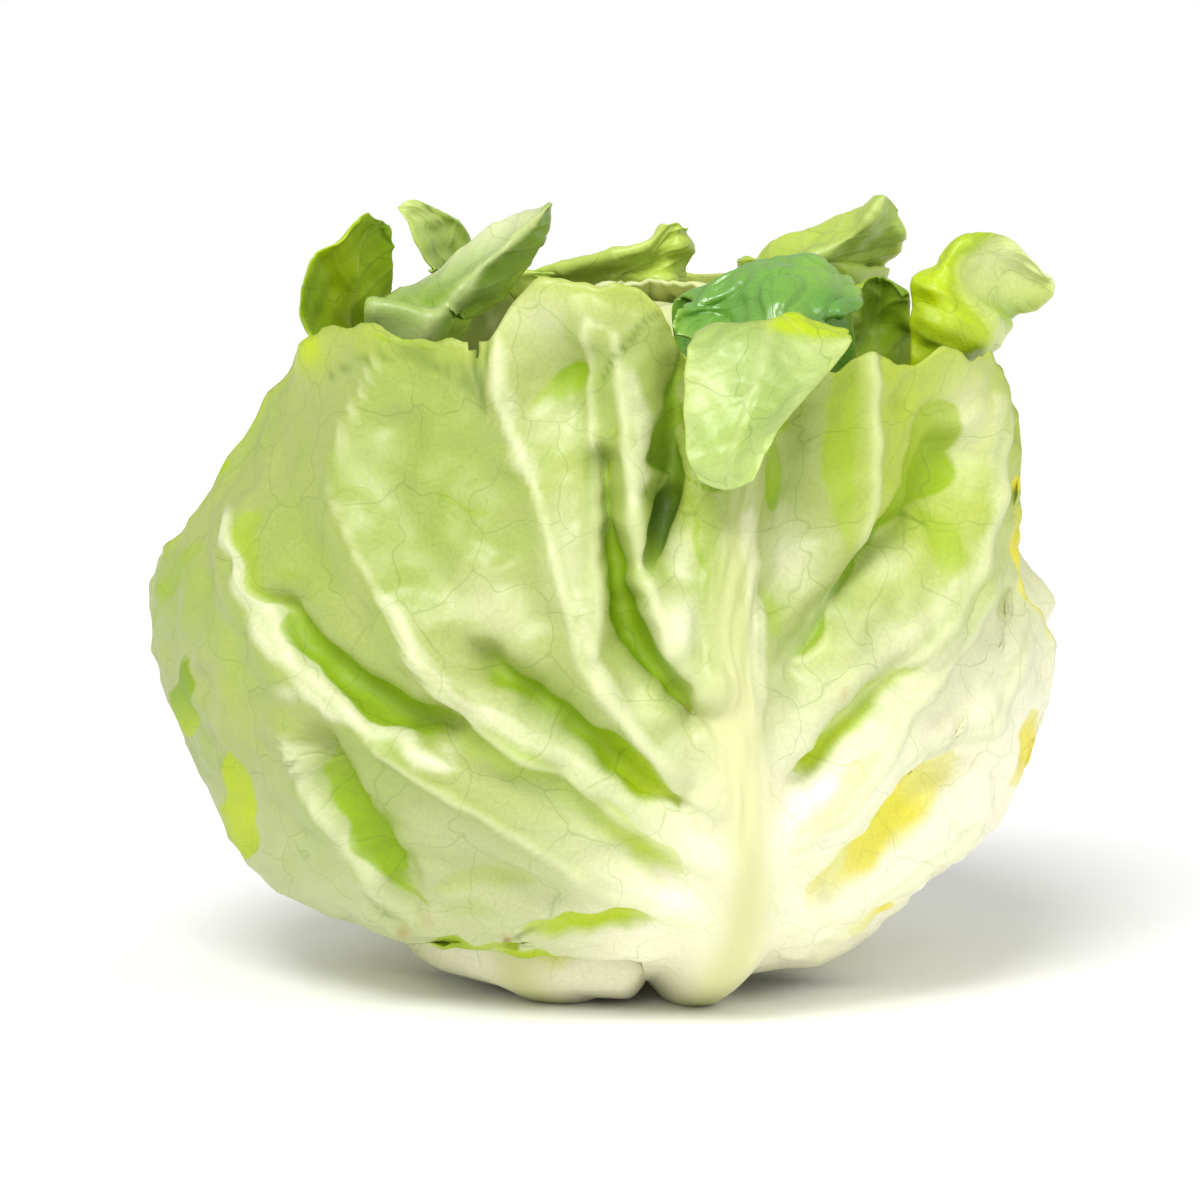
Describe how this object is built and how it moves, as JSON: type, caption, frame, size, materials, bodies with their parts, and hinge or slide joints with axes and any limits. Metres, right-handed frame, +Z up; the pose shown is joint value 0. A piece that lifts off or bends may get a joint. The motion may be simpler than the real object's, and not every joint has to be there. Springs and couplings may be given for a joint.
{
  "type": "head of lettuce",
  "caption": "Round butterhead lettuce standing on its cut stem: thick-ribbed wrapper leaves cupped round a pale heart, with loose leaf tips curling out of the open top.",
  "frame": {"origin": "under the middle of the head's bounding box, on the surface it stands on", "axes": "+Z up along the head; -Y is the front, where the largest wrapper leaf shows its white midrib; +X is to the right of the front view"},
  "size_m": [0.1632, 0.1576, 0.1402],
  "materials": {
    "wrapper_leaf": "soft satin, pale green with cream ribs",
    "pale_leaf": "soft satin, pale yellow-green with cream ribs",
    "inner_leaf": "soft satin, bright yellow-green",
    "dark_leaf": "glossy, mid green",
    "heart": "soft satin, pale cream-green",
    "stem": "matt, cream white"
  },
  "bodies": {
    "root": {"stem": "stem", "leaf_front": "wrapper_leaf", "leaf_right": "pale_leaf", "leaf_left": "wrapper_leaf", "leaf_underneath": "pale_leaf", "leaf_back": "wrapper_leaf", "tip_left": "inner_leaf", "tip_back_left": "inner_leaf", "tip_folded": "inner_leaf", "tip_back": "inner_leaf", "tip_back_right": "inner_leaf", "tip_right": "inner_leaf", "tip_right_inner": "inner_leaf", "tip_shiny": "dark_leaf", "tip_flap": "inner_leaf", "heart": "heart"}
  },
  "joints": []
}
